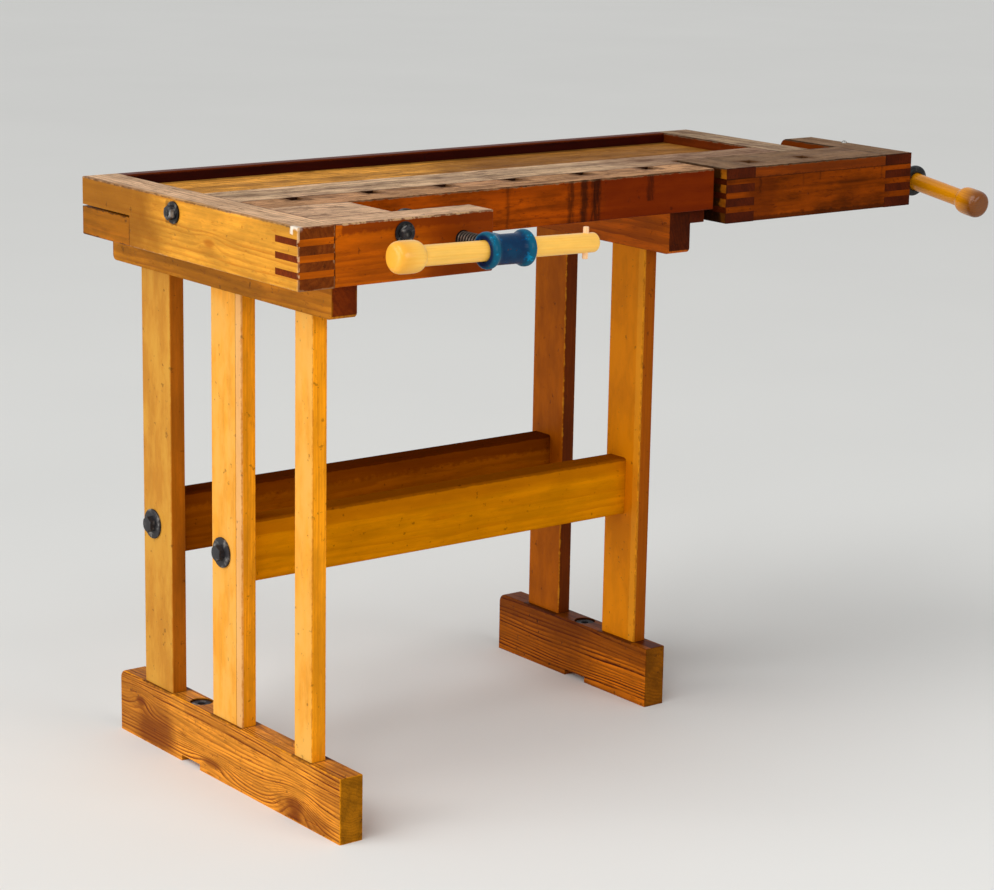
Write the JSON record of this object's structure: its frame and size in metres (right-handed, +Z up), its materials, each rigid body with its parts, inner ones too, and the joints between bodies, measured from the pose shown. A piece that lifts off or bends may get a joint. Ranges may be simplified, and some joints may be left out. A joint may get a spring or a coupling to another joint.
{
  "type": "woodworking bench",
  "caption": "Wooden joiner's bench with a shoulder vise, a sliding tail vise, square dog holes, a sunken tool tray and a bolted trestle base.",
  "frame": {"origin": "on the floor, under the middle of the whole bench's outline", "axes": "+X along the bench towards the tail vise, +Y towards the back rail, +Z up"},
  "size_m": [1.362, 0.694, 0.854],
  "materials": {
    "slab_wood": "worn oil, greyed",
    "strip_wood": "oiled, stained",
    "cap_wood": "oiled",
    "arm_wood": "oiled",
    "tray_wood": "dusty oil",
    "dark_rail_wood": "dark oil",
    "trestle_wood": "oiled",
    "pine_wood": "oiled, coarse grain",
    "tail_wood": "oiled",
    "pale_handle_wood": "bare, handled",
    "orange_handle_wood": "varnished",
    "blue_casting": "worn enamel",
    "black_casting": "black enamel",
    "black_steel": "blackened",
    "bright_steel": "turned, oiled",
    "zinc_steel": "dull zinc"
  },
  "bodies": {
    "bench": {"main_slab": "slab_wood", "front_strip": "strip_wood", "tray_bottom": "tray_wood", "back_rail": "dark_rail_wood", "left_end_cap": "cap_wood", "end_cap_block": "cap_wood", "vise_arm": "arm_wood", "shoulder_block": "arm_wood", "fixed_jaw_block": "strip_wood", "right_end_cap": "cap_wood", "guide_keeper": "trestle_wood", "keeper_screws": "zinc_steel", "left_foot": "trestle_wood", "right_foot": "pine_wood", "left_bearer": "trestle_wood", "right_bearer": "trestle_wood", "left_front_post": "trestle_wood", "left_middle_post": "trestle_wood", "left_back_post": "trestle_wood", "right_middle_post": "trestle_wood", "right_back_post": "trestle_wood", "top_coach_screws": "zinc_steel", "foot_washers": "zinc_steel", "front_stretcher": "trestle_wood", "back_stretcher": "trestle_wood", "stretcher_bolts": "black_steel", "stretcher_washers": "black_steel", "stretcher_barrel_nuts": "zinc_steel", "left_tie_rod": "black_steel", "right_tie_rod": "black_steel", "shoulder_tie_rod": "black_steel", "tie_nuts": "black_steel", "tie_washers": "black_steel", "front_vise_nut": "black_casting", "front_nut_screws": "zinc_steel", "tail_vise_nut": "black_casting", "tail_nut_screws": "zinc_steel"},
    "front_plate": {"swivel_plate": "black_casting"},
    "front_screw_set": {"front_screw": "bright_steel", "front_hub": "blue_casting", "front_hub_pin": "bright_steel"},
    "front_handle_set": {"front_handle": "pale_handle_wood", "front_handle_pin": "pale_handle_wood"},
    "tail_vise_box": {"tail_jaw_block": "tail_wood", "tail_front_board": "tail_wood", "tail_top_plate": "tail_wood", "tail_end_board": "tail_wood", "tail_guide_rail": "trestle_wood", "end_board_screw": "bright_steel", "tail_thrust_plate": "black_casting", "thrust_plate_screws": "zinc_steel"},
    "tail_screw_set": {"tail_screw": "bright_steel", "tail_hub": "black_casting", "tail_hub_pin": "bright_steel", "tail_collar": "bright_steel"},
    "tail_handle_set": {"tail_handle": "orange_handle_wood", "tail_handle_pin": "orange_handle_wood"}
  },
  "joints": [
    {"name": "front_plate_slide", "type": "slide", "parent": "bench", "child": "front_plate", "axis": [0, 1, 0], "range_m": [-0.0521, 0.0231]},
    {"name": "front_screw_turn", "type": "hinge", "parent": "front_plate", "child": "front_screw_set", "pos_m": [-0.404, -0.322, 0.813], "axis": [0, 1, 0], "range_deg": [-3120, 1380]},
    {"name": "front_handle_slide", "type": "slide", "parent": "front_screw_set", "child": "front_handle_set", "axis": [0.9998, 0, -0.0209], "range_m": [-0.095, 0.099]},
    {"name": "tail_vise_slide", "type": "slide", "parent": "bench", "child": "tail_vise_box", "axis": [1, 0, 0], "range_m": [-0.0145, 0.1305]},
    {"name": "tail_screw_turn", "type": "hinge", "parent": "tail_vise_box", "child": "tail_screw_set", "pos_m": [0.656, -0.0045, 0.8], "axis": [1, 0, 0], "range_deg": [-864, 7800]},
    {"name": "tail_handle_slide", "type": "slide", "parent": "tail_screw_set", "child": "tail_handle_set", "axis": [0, 0.989, 0.1478], "range_m": [-0.095, 0.099]}
  ],
  "couplings": [
    {"joint": "front_plate_slide", "follows": "front_screw_turn", "m_per_rad": 0.00095493},
    {"joint": "tail_vise_slide", "follows": "tail_screw_turn", "m_per_rad": 0.00095493}
  ]
}
